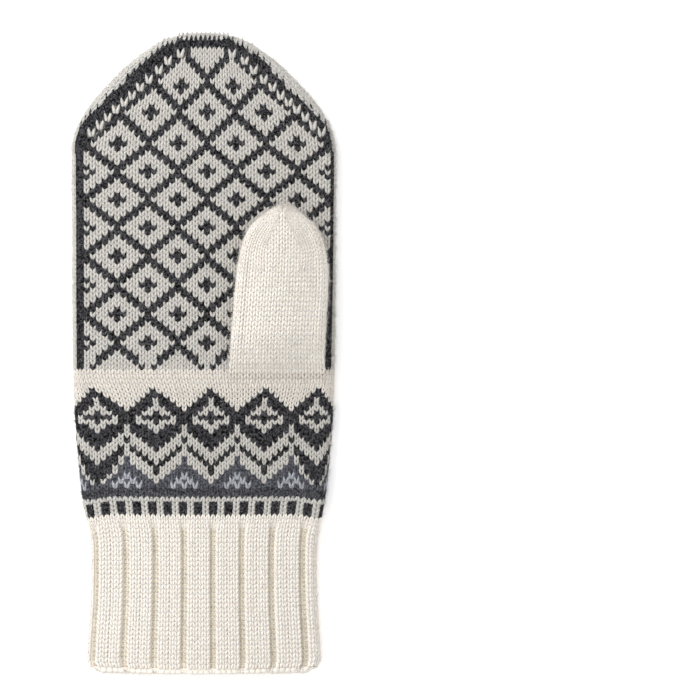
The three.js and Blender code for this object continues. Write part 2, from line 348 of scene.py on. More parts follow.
def outline_of(rows):
    """A centripetal curve through (half, y, crown), up the right side and down the left."""
    steps = 240
    right = rows[:, [1, 0, 2]]
    points = np.vstack([right, right[-2::-1] * (-1, 1, 1)])
    padded = np.vstack([2 * points[0] - points[1], points, 2 * points[-1] - points[-2]])
    at = np.linspace(0, len(points) - 1, steps + 1)
    i = np.minimum(at.astype(int), len(points) - 2)
    w = (at - i)[:, None]
    p0, p1, p2, p3 = (padded[i + k] for k in range(4))
    spans = ((p0, p1), (p1, p2), (p2, p3))
    d0, d1, d2 = (np.sum((b - a) ** 2, axis=1)[:, None] ** 0.25 for a, b in spans)
    start = ((p1 - p0) / d0 - (p2 - p0) / (d0 + d1) + (p2 - p1) / d1) * d1
    end = ((p2 - p1) / d1 - (p3 - p1) / (d1 + d2) + (p3 - p2) / d2) * d1
    bend = -3 * p1 + 3 * p2 - 2 * start - end
    return p1 + start * w + bend * w**2 + (2 * p1 - 2 * p2 + start + end) * w**3


MITTEN_OUTLINE = outline_of(MITTEN)
THUMB_OUTLINE = outline_of(THUMB)


def row_at(outline, y):
    """Half width and crown of an outline at y."""
    right = outline[: len(outline) // 2 + 1]
    return np.interp(y, right[:, 1], right[:, 0]), np.interp(y, right[:, 1], right[:, 2])


def depth_inside(outline, x, y):
    """How far points lie from an outline."""
    a = outline[:-1, :2]
    edge = outline[1:, :2] - a
    dx = np.ravel(x)[:, None] - a[:, 0]
    dy = np.ravel(y)[:, None] - a[:, 1]
    share = np.clip((dx * edge[:, 0] + dy * edge[:, 1]) / np.sum(edge**2, axis=1), 0, 1)
    gap = np.hypot(dx - share * edge[:, 0], dy - share * edge[:, 1])
    return gap.min(axis=1).reshape(np.shape(x))


def crown_share(x, half):
    u = np.minimum(np.abs(x) / np.maximum(half, 0.01), 1)
    return (1 - u * u) ** CROWN_POWER


def fold_rise(outline, x, y, radius, inset):
    """Half the thickness that a folded edge leaves at a point of a surface set in from the form."""
    fold = radius - inset
    rim = np.clip(depth_inside(outline, x, y) - inset, 0, fold)
    return np.sqrt(fold**2 - (fold - rim) ** 2)


def palm_crown(x, y):
    half, crown = row_at(MITTEN_OUTLINE, y)
    return crown * crown_share(x, half - FOLD)


def mitten_heights(x, y, inset=0.0):
    rise = fold_rise(MITTEN_OUTLINE, x, y, FOLD, inset)
    return FOLD - rise, FOLD + rise + palm_crown(x, y)


def thumb_centre(y):
    blend = smoothstep(y, THUMB_CENTRE["from"], THUMB_CENTRE["to"])
    return lerp(THUMB_CENTRE["root"], THUMB_CENTRE["tip"], blend)


def thumb_share(y):
    return lerp(THUMB_TOE, 1, smoothstep(y, THUMB_ROOT, THUMB_FULL))


def thumb_seat(across, y):
    return 2 * FOLD + palm_crown(thumb_centre(y) + across, y) + SEAM_GAP


def thumb_bulge(across, y):
    half, crown = row_at(THUMB_OUTLINE, y)
    return crown * crown_share(across, half - THUMB_FOLD)


def thumb_heights(across, y, inset=0.0):
    seat = thumb_seat(across, y)
    share = thumb_share(y)
    rise = fold_rise(THUMB_OUTLINE, across, y, THUMB_FOLD, inset)
    low = seat + inset + share * (THUMB_FOLD - inset - rise)
    high = seat - inset + share * (THUMB_FOLD + inset + rise + thumb_bulge(across, y))
    return low, high


def mouth_narrowing(y):
    """The share of its width that the cuff keeps at its mouth's rounded corners."""
    up = np.clip(y - MOUTH, 0, MOUTH_CORNER)
    loss = MOUTH_CORNER - np.sqrt(MOUTH_CORNER**2 - (MOUTH_CORNER - up) ** 2)
    return 1 - loss / row_at(MITTEN_OUTLINE, y)[0]


# Smooth sections of the straight part, as tables over y and the share of the way round

SECTION_YS = np.arange(MOUTH - 3, TIP_START + 6, 1.5)
SECTION_SHARES = np.linspace(0, 1, 181)


def half_section(y):
    """x, z and length from the middle of the palm over the right fold to the middle of the back."""
    half, crown = row_at(MITTEN_OUTLINE, y)
    flat = half - FOLD
    turn = np.linspace(math.pi / 2, -math.pi / 2, 60)[1:]
    palm = np.linspace(0, flat, 80)
    back = np.linspace(flat, 0, 30)[1:]
    x = np.concatenate([palm, flat + FOLD * np.cos(turn), back])
    z_palm = 2 * FOLD + crown * crown_share(palm, flat)
    z = np.concatenate([z_palm, FOLD + FOLD * np.sin(turn), 0 * back])
    along = np.concatenate([[0], np.cumsum(np.hypot(np.diff(x), np.diff(z)))])
    at = SECTION_SHARES * along[-1]
    return np.interp(at, along, x), np.interp(at, along, z), along[-1]


SECTIONS = [half_section(y) for y in SECTION_YS]
SECTION_X = np.array([x for x, _, _ in SECTIONS])
SECTION_Z = np.array([z for _, z, _ in SECTIONS])
SECTION_LENGTHS = np.array([length for _, _, length in SECTIONS])


def half_length(y):
    return np.interp(y, SECTION_YS, SECTION_LENGTHS)


def body_point(arc, y):
    """The point of the smooth body at an arc from the middle of the palm, positive to the right."""
    length = half_length(y)
    arc = (arc + length) % (2 * length) - length
    row = np.clip((y - SECTION_YS[0]) / (SECTION_YS[1] - SECTION_YS[0]), 0, len(SECTION_YS) - 1.001)
    column = np.clip(np.abs(arc) / length, 0, 0.9999) * (len(SECTION_SHARES) - 1)
    i, j = row.astype(int), column.astype(int)
    wi, wj = row - i, column - j
    x, z = (
        lerp(lerp(t[i, j], t[i, j + 1], wj), lerp(t[i + 1, j], t[i + 1, j + 1], wj), wi)
        for t in (SECTION_X, SECTION_Z)
    )
    return np.stack([np.sign(arc) * x * mouth_narrowing(y), y, z], axis=-1)


# Surfaces in wales and rows

def row_y(row):
    return table(ROWS, row)


def wale_arc(wale, y):
    """The arc from the middle of the palm to a wale of the hand and the band."""
    wale = (wale + HALF_ROUND) % (2 * HALF_ROUND) - HALF_ROUND
    length = half_length(y)
    pitch = lerp(BAND_PITCH, HAND_PITCH, smoothstep(y, *PITCH_CHANGE))
    count = np.abs(wale)
    from_middle = np.minimum(count, 2 * EDGE_WALE - count)
    side = (length / 2 - LATTICE_WALES * pitch) / (EDGE_WALE - LATTICE_WALES)
    arc = pitch * np.minimum(from_middle, LATTICE_WALES) + side * np.maximum(from_middle - LATTICE_WALES, 0)
    arc = np.where(count > EDGE_WALE, length - arc, arc)
    fade = np.clip((EDGE_WALE - count) / (EDGE_WALE - LATTICE_WALES), 0, 1)
    pinch = LATTICE_PINCH * np.sin(np.pi * wale / 15) * (count < 15)
    pinch = pinch + LEFT_STRETCH * np.clip((-wale - 15) / 5, 0, 1) * fade
    roll = THUMB_SIDE_ROLL * table(ROLL_SHARES, wale)
    roll = roll * (1 - smoothstep(y, *ROLL_END)) * smoothstep(y, *ROLL_START)
    lean = BAND_LEAN * (1 - np.minimum(count / 20, 1) ** 2) * (1 - smoothstep(y, *LEAN_END))
    return np.sign(wale) * arc + LATTICE_SHIFT * fade - pinch - roll + lean


def sagged(point):
    """Rows sink a little at the sides, where the band meets the cuff."""
    x, y = point[..., 0], point[..., 1]
    near = smoothstep(y, *SAG_START) * (1 - smoothstep(y, *SAG_END))
    drop = SIDE_SAG * smoothstep(np.abs(x), *SAG_ACROSS) * near
    return point - np.stack([0 * y, drop, 0 * y], axis=-1)


def round_surface(wale, row):
    """The straight part of the hand and the band."""
    y = row_y(row)
    return sagged(body_point(wale_arc(wale, y), y))


def tip_x(wale, y):
    x = body_point(wale_arc(wale, np.full_like(y, TIP_START)), np.full_like(y, TIP_START))[..., 0]
    middle = LATTICE_SHIFT * 0.5
    return middle + (x - middle) * table(TIP_NARROWING, y)


def palm_tip_surface(wale, row):
    y = row_y(row)
    x = tip_x(wale, y)
    return np.stack([x, y, mitten_heights(x, y)[1]], axis=-1)


def back_tip_surface(wale, row):
    y = row_y(row)
    x = tip_x(wale, y)
    return np.stack([x, y, mitten_heights(x, y)[0]], axis=-1)


def rib_phase(wale, y):
    """The place of one of a rib's six wales in its pitch: two sunken ones, and then four plain."""
    local = (wale + 0.5) % RIB_WALES - 0.5
    whole = (wale + 0.5) // RIB_WALES
    sunken = -SUNKEN_WALE + (local + 0.5) * SUNKEN_WALE
    plain = SUNKEN_WALE + (local - 1.5) * PLAIN_WALE
    ribbed = np.where(local < 1.5, sunken, plain)
    even = (local - 0.5) / RIB_WALES
    return whole, lerp(ribbed, even, smoothstep(y, CUFF_TOP - 7, CUFF_TOP))


def rib_relief(phase, y):
    """How deep the surface lies at a phase of a rib."""
    from_groove = np.abs((phase + 0.5) % 1 - 0.5)
    groove = GROOVE_DEPTH * (1 - smoothstep(from_groove, 0.05, 0.175))
    seam = SEAM_DEPTH * (1 - smoothstep(np.abs(from_groove - 0.5), 0, 0.07))
    top = smoothstep(CUFF_TOP + 1.0 - y, 0, 8)
    mouth = lerp(0.35, 1, smoothstep(y - MOUTH, 1.2, 4.5))
    return (groove + seam) * top * mouth


def inward_step(point, arc, y, depth):
    """A point moved square to the body by a depth."""
    across = body_point(arc + 0.4, y) - body_point(arc - 0.4, y)
    inward = unit(np.stack([across[..., 2], 0 * y, -across[..., 0]], axis=-1))
    return point + inward * depth[..., None]


def cuff_depth_point(wale, y, depth, ribbed=1.0):
    whole, phase = rib_phase(wale, y)
    turn = (RIB_SHIFT + whole + phase) / RIB_COUNT * 2
    arc = turn * half_length(y) - RIB_CROWDING * np.sin(2 * np.pi * turn)
    relief = rib_relief(phase, y) * ribbed
    return sagged(inward_step(body_point(arc, y), arc, y, relief + depth))


def cuff_surface(wale, row):
    """The cuff and the row of ticks above it, whose rows are counted down from the cuff's top."""
    y = KNIT_TOP - row * CUFF_ROW
    return cuff_depth_point(wale, y, np.zeros_like(y))


def cuff_inside_surface(wale, row):
    y = KNIT_TOP - row * CUFF_ROW
    return cuff_depth_point(wale, y, np.full_like(y, CUFF_WALL), INNER_RIBS)


def cuff_lip_surface(wale, row):
    """The mouth's lip, from the outer side at row 0 to the inner side at row 1."""
    y = MOUTH + 0.1 + 1.1 * (2 * row - 1) ** 2
    return cuff_depth_point(wale, y, lerp(0.35, CUFF_WALL - 0.35, row), 0.6)


def tick_surface(wale, row):
    """The ticks' rows, whose dark wales lie closer together."""
    y = row_y(row)
    wale = 3 * (wale // 3) + np.interp(wale % 3, (0, 1, 2, 3), (0.12, 0.88, 2.0, 3.12))
    return cuff_depth_point(wale, y, np.zeros_like(y))


def make_edge(outline, start, radius, surface):
    """A folded edge from start to the tip: places and inward directions along the right side."""
    right = outline[: len(outline) // 2 + 1]
    ys = np.linspace(0, 1, 200) ** 0.5
    ys = start + (right[-1, 1] - start) * ys
    x = np.interp(ys, right[:, 1], right[:, 0])
    along = np.concatenate([[0], np.cumsum(np.hypot(np.diff(x), np.diff(ys)))])
    even = np.linspace(0, along[-1], 160)
    x, y = np.interp(even, along, x), np.interp(even, along, ys)
    tangent = unit(np.stack([np.gradient(x), np.gradient(y)], axis=-1))
    return {
        "at": even, "x": x, "y": y, "in_x": -tangent[:, 1], "in_y": tangent[:, 0],
        "radius": radius, "surface": surface,
    }


def edge_point(edge, side, arc, q):
    """A point of a folded edge: q along it, arc square to it, positive over the upper side."""
    x, y, in_x, in_y = (np.interp(q, edge["at"], edge[k]) for k in ("x", "y", "in_x", "in_y"))
    radius = edge["radius"]
    turn = np.minimum(np.abs(arc) / radius, math.pi / 2)
    depth = radius * (1 - np.cos(turn)) + np.maximum(np.abs(arc) - radius * math.pi / 2, 0)
    rise = np.sign(arc) * radius * np.sin(turn)
    return edge["surface"](side * (x + depth * in_x), y + depth * in_y, rise)


def hand_edge_surface(x, y, rise):
    return np.stack([x, y, FOLD + rise + np.where(rise > 0, palm_crown(x, y), 0)], axis=-1)


def thumb_edge_surface(across, y, rise):
    bulge = np.where(rise > 0, thumb_bulge(across, y), 0)
    z = thumb_seat(across, y) + thumb_share(y) * (THUMB_FOLD + rise + bulge)
    return np.stack([thumb_centre(y) + across, y, z], axis=-1)


HAND_EDGE = make_edge(MITTEN_OUTLINE, TIP_START, FOLD, hand_edge_surface)
THUMB_EDGE = make_edge(THUMB_OUTLINE, THUMB_TIP_START, THUMB_FOLD, thumb_edge_surface)


# Stitches: where they sit, which way they face, how large they are and of which yarn

def stitches(surface, wales, rows, yarns, facing=1.0, upward=True):
    """Stitches on surface(wale, row). facing is -1 where the wales run the other way round."""
    wales, rows = np.asarray(wales, float), np.asarray(rows, float)
    across = (surface(wales + 0.3, rows) - surface(wales - 0.3, rows)) / 0.6
    along = (surface(wales, rows + 0.3) - surface(wales, rows - 0.3)) / 0.6
    if upward:
        along *= np.where(along[:, 1:2] < 0, -1, 1)
    across *= facing
    normal = unit(np.cross(across, along))
    across = across - normal * np.sum(across * normal, axis=1, keepdims=True)
    return {
        "place": surface(wales, rows) - normal * YARN_DEPTH,
        "across": unit(across),
        "along": unit(along),
        "normal": normal,
        "width": np.linalg.norm(across, axis=1),
        "height": np.linalg.norm(along, axis=1),
        "yarn": np.array([YARN_NAMES.index(name) for name in yarns]),
    }


def joined(parts):
    return {key: np.concatenate([part[key] for part in parts]) for key in parts[0]}


def chosen(part, keep):
    return {key: value[keep] for key, value in part.items()}


def grid(wales, rows):
    wale, row = np.meshgrid(np.asarray(wales, float), np.asarray(rows, float), indexing="ij")
    return wale.ravel(), row.ravel()


def grains(part, path, side, spreads):
    """Lengths of yarn that taper to both ends, twelve points each, along a path on each stitch."""
    count = len(part["width"])
    slack = random.normal(0, 0.035, (count, 4, 3))
    local = path[None] * np.stack([side * part["width"], part["height"], np.ones(count)], axis=-1)[:, None]
    local = local + slack
    basis = np.stack([part["across"], part["along"], part["normal"]], axis=1)
    centres = part["place"][:, None] + local @ basis
    tangent = unit(centres[:, 2] - centres[:, 1])
    breadth = unit(np.cross(part["normal"], tangent))
    upright = np.cross(tangent, breadth)
    angles = np.arange(YARN_SIDES) * 2 * math.pi / YARN_SIDES + math.pi / 2
    rings = []
    for k, spread in enumerate(spreads):
        half = (spread * random.normal(1, 0.06, count))[:, None, None]
        around = breadth[:, None] * np.cos(angles)[:, None] * half
        around = around + upright[:, None] * np.sin(angles)[:, None] * YARN_RISE
        rings.append(centres[:, k + 1 : k + 2] + around)
    return np.concatenate([centres[:, :1], *rings, centres[:, 3:]], axis=1)


def grain_faces():
    """The triangles of one such length: a fan, a sleeve and a fan."""
    n = YARN_SIDES
    faces = []
    for k in range(n):
        a, b = 1 + k, 1 + (k + 1) % n
        faces += [(0, a, b), (a, a + n, b + n), (a, b + n, b), (2 * n + 1, b + n, a + n)]
    return np.array(faces)


def mesh_piece(name, points, faces, yarns):
    """A smooth piece from arrays, in millimetres, with a yarn for each triangle."""
    mesh = bpy.data.meshes.new(name)
    points = np.array(points)
    points[:, 2] = np.maximum(points[:, 2], 0.03)
    mesh.vertices.add(len(points))
    mesh.vertices.foreach_set("co", (points * MM).ravel())
    mesh.loops.add(len(faces) * 3)
    mesh.loops.foreach_set("vertex_index", faces.ravel().astype(np.int32))
    mesh.polygons.add(len(faces))
    mesh.polygons.foreach_set("loop_start", np.arange(len(faces), dtype=np.int32) * 3)
    used, slots = np.unique(yarns, return_inverse=True)
    for yarn in used:
        mesh.materials.append(wool(YARN_NAMES[yarn]))
    mesh.polygons.foreach_set("material_index", slots.astype(np.int32))
    mesh.polygons.foreach_set("use_smooth", np.ones(len(faces), dtype=bool))
    mesh.update(calc_edges=True)
    piece = bpy.data.objects.new(name, mesh)
    bpy.context.scene.collection.objects.link(piece)
    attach(piece, BODY)
    return piece


def knit_piece(name, plain, purled=None):
    """A piece of plain stitches, with some purl stitches if given."""
    rises = np.array([RISES.get(yarn, 0) for yarn in YARN_NAMES])[plain["yarn"]]
    plain["place"] = plain["place"] + plain["normal"] * rises[:, None]
    long = np.isin(plain["yarn"], [YARN_NAMES.index(yarn) for yarn in LONG_YARNS])
    lengths, yarns = [], []
    kinds = ((~long, LEG, LEG_SPREAD), (long, LONG_LEG, LONG_LEG_SPREAD))
    for kind, leg, leg_spread in kinds:
        part = chosen(plain, kind)
        spreads = [share * part["width"] for share in leg_spread]
        for side in (1, -1):
            lengths.append(grains(part, leg, side, spreads))
            yarns.append(part["yarn"])
    if purled is not None:
        lengths.append(grains(purled, BUMP, 1, [BUMP_SPREAD * purled["height"]] * 2))
        yarns.append(purled["yarn"])
    lengths = np.concatenate(lengths)
    one = grain_faces()
    faces = one[None] + (np.arange(len(lengths)) * lengths.shape[1])[:, None, None]
    yarns = np.repeat(np.concatenate(yarns), len(one))
    piece = mesh_piece(name, lengths.reshape(-1, 3), faces.reshape(-1, 3), yarns)


def fuzz_piece(name, part, count):
    """Loose bent fibres, five points each, that rise from the stitches and lie over them."""
    weight = 1 + 2.5 * (np.abs(part["normal"][:, 2]) < 0.6)
    pick = random.choice(len(weight), count, p=weight / weight.sum())
    size = np.stack([part["width"][pick], part["height"][pick]], axis=-1)
    basis = {key: part[key][pick] for key in ("across", "along", "normal")}
    offset = random.uniform(-0.5, 0.5, (count, 2)) * size
    root = part["place"][pick] + basis["across"] * offset[:, :1] + basis["along"] * offset[:, 1:]
    root = root + basis["normal"] * random.uniform(0.1, 0.35, (count, 1))
    turn = random.uniform(0, 2 * math.pi, count)
    steep = random.uniform(-0.05, 1, count) ** 2 * FIBRE["steep"]
    flat = basis["across"] * np.cos(turn)[:, None] + basis["along"] * np.sin(turn)[:, None]
    first = unit(flat + basis["normal"] * steep[:, None])
    second = unit(first + random.normal(0, 0.45, (count, 3)) - basis["normal"] * 0.35)
    length = random.uniform(FIBRE["short"], FIBRE["long"], (count, 1)) / 2
    middle = root + first * length
    side = unit(np.cross(first + second, basis["normal"] + 0.01))
    other = unit(np.cross(first + second, side))
    angles = np.arange(3) * 2 * math.pi / 3
    ring = side[:, None] * np.cos(angles)[:, None] + other[:, None] * np.sin(angles)[:, None]
    points = np.concatenate(
        [root[:, None], middle[:, None] + ring * FIBRE["radius"], (middle + second * length)[:, None]], axis=1
    )
    one = np.array([(0, 2, 1), (0, 3, 2), (0, 1, 3), (4, 1, 2), (4, 2, 3), (4, 3, 1)])
    faces = one[None] + (np.arange(count) * 5)[:, None, None]
    piece = mesh_piece(name, points.reshape(-1, 3), faces.reshape(-1, 3), np.repeat(part["yarn"][pick], 6))


# Materials

def wool(name):
    """Spun wool whose tone drifts along the yarn, with flecks and raised fibres."""
    if name in bpy.data.materials:
        return bpy.data.materials[name]
    pale, deep, fleck = YARNS[name]
    material = bpy.data.materials.new(name)
    material.use_nodes = True
    nodes, links = material.node_tree.nodes, material.node_tree.links
    shader = nodes["Principled BSDF"]
    shader.inputs["Roughness"].default_value = 0.95
    shader.inputs["Specular IOR Level"].default_value = 0.05
    if name in PALE_YARNS:
        shader.inputs["Sheen Weight"].default_value = 0.1
        shader.inputs["Sheen Roughness"].default_value = 0.6
        shader.inputs["Subsurface Weight"].default_value = 0.55
        shader.inputs["Subsurface Scale"].default_value = 0.0009
        shader.inputs["Subsurface Radius"].default_value = (1.0, 0.9, 0.8)
    place = nodes.new("ShaderNodeTexCoord")
    drift = nodes.new("ShaderNodeTexNoise")
    drift.inputs["Scale"].default_value = 1000
    drift.inputs["Detail"].default_value = 4
    drift.inputs["Roughness"].default_value = 0.7
    links.new(place.outputs["Object"], drift.inputs["Vector"])
    tones = nodes.new("ShaderNodeValToRGB")
    tones.color_ramp.elements[0].position = 0.5 - 0.32 * (1 - fleck) - 0.06
    tones.color_ramp.elements[1].position = 0.5 + 0.32 * (1 - fleck) + 0.06
    tones.color_ramp.elements[0].color = (*deep, 1)
    tones.color_ramp.elements[1].color = (*pale, 1)
    links.new(drift.outputs["Fac"], tones.inputs["Fac"])
    links.new(tones.outputs["Color"], shader.inputs["Base Color"])
    fibre = nodes.new("ShaderNodeTexNoise")
    fibre.inputs["Scale"].default_value = 4200
    fibre.inputs["Detail"].default_value = 3
    links.new(place.outputs["Object"], fibre.inputs["Vector"])
    bump = nodes.new("ShaderNodeBump")
    bump.inputs["Strength"].default_value = 0.35
    bump.inputs["Distance"].default_value = 0.00012
    links.new(fibre.outputs["Fac"], bump.inputs["Height"])
    links.new(bump.outputs["Normal"], shader.inputs["Normal"])
    return material


# Patterns

def is_lattice(wale, row):
    """Whether a stitch is dark in the palm's diamonds, ten wales by twelve rows, crosses included."""
    across = np.abs((wale + 5) % 10 - 5)
    up = np.abs(row % 12 - 6)
    begun = row > -4
    crossing = (across == 0) & (up <= 1) & begun
    arms = (across > 0) & ((up == across) | (up == across + 1)) & ~((across == 1) & (row == -4))
    cross_row = row + (row > 50)
    cross_up = np.abs(cross_row % 12 - 6)
    low_cross = ((across == 5) & (cross_up <= 1)) | ((across == 4) & (cross_up == 0))
    high_cross = ((across == 0) & (cross_up >= 5)) | ((across == 1) & (cross_up == 6))
    pale_eye = (np.abs(wale) == 20) & (up == 6)
    top = (row >= 58) & (np.abs(wale) <= 2)
    return (crossing | arms | (low_cross & begun) | high_cross) & ~pale_eye & ~top


def is_star(wale, row, middle, reach):
    """Whether a stitch is dark in an eight-pointed star whose petals are slanted squares."""
    across, up = np.abs(wale), np.abs(row - middle) * 0.8
    far, near = np.maximum(across, up), np.minimum(across, up)
    return (near >= 0.8) & (near <= reach / 2) & (far - near >= 0.8) & (far - near <= reach / 2)


def is_cross(wale, row, at_wale, at_row):
    across, up = np.abs(np.abs(wale) - at_wale), np.abs(row - at_row)
    return (across + up <= 1) | ((across == 0) & (up <= 2))


def is_back_figure(wale, row):
    """The back's traditional stars with small crosses between them."""
    dark = is_star(wale, row, 24, 16) | is_star(wale, row, 51, 7) | is_star(wale, row, -1, 5)
    for at_wale, at_row in ((16, 3), (9, 0), (17, 24), (16, 45), (9, 48), (0, 24)):
        dark = dark | is_cross(wale, row, at_wale, at_row)
    return dark


def hand_yarns(wale, row):
    """Yarns of the straight part of the hand, for wales all the way round."""
    on_back = np.abs(wale) > EDGE_WALE
    from_middle = np.where(on_back, 2 * EDGE_WALE - np.abs(wale), np.abs(wale))
    figure = np.where(on_back, is_back_figure(from_middle, row), is_lattice(wale, row))
    dark = np.where(from_middle <= 20, figure, from_middle <= 22) & (row >= -5)
    pale = np.where(row > -6, "stone", "cream")
    return np.where(dark, "charcoal", pale)


def dot_line(x, y):
    """How far a point lies inside the line of pale dots along the tip."""
    return (table(DOT_LINE, np.abs(x - DOT_MIDDLE)) - y) * DOT_SLANT


def tip_yarns(wale, row, x, y, on_palm):
    """Yarns of the tip's upright wales: the figure, its dark border and the cream edge."""
    depth = depth_inside(MITTEN_OUTLINE, x, y)
    border = lerp(DOT_BORDER["low"], DOT_BORDER["high"], smoothstep(y, DOT_BORDER["from"], DOT_BORDER["to"]))
    in_border = (dot_line(x, y) < border) & (y > DOTS[-1, 1] - 3)
    in_border |= (depth < DARK_ARCH) & (y > DARK_ARCH_START)
    in_border |= np.abs(wale) > LATTICE_WALES
    figure = is_lattice(wale, row) if on_palm else is_back_figure(wale, row)
    dark = (in_border | figure) & (depth > table(CREAM_EDGE, y))
    return np.where(dark, "charcoal", "stone")


def band_yarns(wale, row):
    """Yarns of the border band, from its chart."""
    names = []
    for w, r in zip(wale.astype(int), (-10 - row).astype(int)):
        column = abs((w + 5) % 10 - 5)
        chart_row = BAND_CHART[r]
        if 16 <= abs(w) <= 25 and SIDE_CHART_START <= r < SIDE_CHART_START + len(SIDE_CHART):
            chart_row = SIDE_CHART[r - SIDE_CHART_START]
        outside = column > r and r < 5
        names.append("cream" if outside else CHART_YARNS[chart_row[column]])
    return names


# Pieces

def is_under_thumb(x, y):
    """Whether a point of the palm lies well below the thumb."""
    across = x - thumb_centre(y)
    half = row_at(THUMB_OUTLINE, y)[0]
    inside = (np.abs(across) < half - 1.2) & (y > THUMB_ROOT) & (y < THUMB[-1, 0])
    return inside & ((depth_inside(THUMB_OUTLINE, across, y) > 3.4) | (y < -6))


def straight_hand(wales):
    wale, row = grid(wales, np.arange(FIRST_HAND_ROW, FIRST_TIP_ROW))
    return stitches(round_surface, wale, row, hand_yarns(wale, row))


def dot_distance(x, y):
    """How far a stitch lies from a dot, 1 at the edge of the dot's room."""
    return np.maximum(np.abs(x) / DOT_CLEARANCE[0], np.abs(y) / DOT_CLEARANCE[1])


def tip_columns(on_palm):
    """The tip's upright wales, as far as the slanting edge wales."""
    wale, row = grid(np.arange(-22, 23), np.arange(FIRST_TIP_ROW, 64))
    surface = palm_tip_surface if on_palm else back_tip_surface
    y = row_y(row)
    x = tip_x(wale, y)
    half = row_at(MITTEN_OUTLINE, y)[0]
    keep = (np.abs(x) < half) & (y < TIP)
    wale, row, x, y = wale[keep], row[keep], x[keep], y[keep]
    rim = np.where(y < 92, 0.9, np.minimum(table(CREAM_EDGE, y), 4.0) - 0.2)
    depth = depth_inside(MITTEN_OUTLINE, x, y)
    keep = depth > rim - FILLING
    wale, row, x, y, filling = wale[keep], row[keep], x[keep], y[keep], (depth < rim)[keep]
    part = stitches(surface, wale, row, tip_yarns(wale, row, x, y, on_palm), 1 if on_palm else -1)
    part["place"] = part["place"] - part["normal"] * (FILLING_DEPTH * filling)[:, None]
    near = np.full(len(x), np.inf)
    for dot_x, dot_y in DOT_PLACES:
        near = np.minimum(near, dot_distance(x - dot_x, y - dot_y))
    return chosen(part, near > 1.0)


def tip_dots(on_palm):
    """The pale dots: single upright stitches, larger than their neighbours."""
    def surface(index, row):
        i = np.round(index).astype(int)
        x = DOT_PLACES[i, 0] + (index - i) * DOT_SIZE[0]
        y = DOT_PLACES[i, 1] + row * DOT_SIZE[1]
        low, high = mitten_heights(x, y)
        return np.stack([x, y, high + DOT_RISE if on_palm else low], axis=-1)

    dots = np.arange(len(DOT_PLACES))
    return stitches(surface, dots, 0 * dots, ["stone"] * len(dots), 1 if on_palm else -1)


def hand_edges(on_palm):
    """The cream wales that follow the tip's fold."""
    parts = []
    length = HAND_EDGE["at"][-1]
    rows = np.arange(0.4, length / EDGE_ROW)
    for side in (-1, 1):

        def surface(wale, row, side=side):
            q = np.clip(row * EDGE_ROW, 0, length)
            y = np.interp(q, HAND_EDGE["at"], HAND_EDGE["y"])
            cream = np.minimum(table(CREAM_EDGE, y), 4.1)
            arc = FOLD * np.arccos(1 - cream / FOLD)
            return edge_point(HAND_EDGE, side, wale * arc / 2.5, q)

        wale, row = grid((0, 1, 2) if on_palm else (-1, -2), rows)
        parts.append(stitches(surface, wale, row, ["stone"] * len(wale), -side))
    return joined(parts)


def dark_side_ends(on_palm):
    """The two dark side wales, which run on a little way past the start of the tip."""
    parts = []
    for side in (-1, 1):

        def surface(wale, row, side=side):
            q = row * SIDE_END_ROW
            y = np.interp(q, HAND_EDGE["at"], HAND_EDGE["y"])
            arc = FOLD * np.arccos(1 - table(CREAM_EDGE, y) / FOLD)
            reach = arc + (np.abs(wale) - 2.5) * SIDE_END_PITCH
            return edge_point(HAND_EDGE, side, np.sign(wale) * reach, q)

        wale, row = grid((3, 4) if on_palm else (-3, -4), np.arange(0.3, 6))
        parts.append(stitches(surface, wale, row, ["charcoal"] * len(wale), -side))
    return joined(parts)


def make_hand_knit():
    palm = straight_hand(np.arange(-EDGE_WALE, EDGE_WALE + 1))
    under = is_under_thumb(palm["place"][:, 0], palm["place"][:, 1])
    palm = chosen(palm, ~under)
    palm = joined([palm, tip_columns(True), tip_dots(True), hand_edges(True), dark_side_ends(True)])
    back_wales = np.concatenate([np.arange(-HALF_ROUND, -EDGE_WALE), np.arange(EDGE_WALE + 1, HALF_ROUND)])
    back = straight_hand(back_wales)
    back = joined([back, tip_columns(False), tip_dots(False), hand_edges(False), dark_side_ends(False)])
    knit_piece("hand_palm_knit", palm)
    knit_piece("hand_back_knit", back)
    return joined([palm, back])


def make_band_knit():
    wale, row = grid(np.arange(-HALF_ROUND, HALF_ROUND), np.arange(FIRST_BAND_ROW, FIRST_HAND_ROW))
    band = stitches(round_surface, wale, row, band_yarns(wale, row))
    wale, row = grid(np.arange(RIB_WALES * RIB_COUNT), np.arange(FIRST_TICK_ROW, LAST_TICK_ROW + 2))
    dark = (wale % 3 < 2) & (row <= LAST_TICK_ROW)
    ticks = stitches(tick_surface, wale, row, np.where(dark, "charcoal", "stone"))
    ticks["width"] *= np.where(dark, 0.81, 1.25)
    band = joined([band, ticks])
    knit_piece("band_knit", band)
    return band


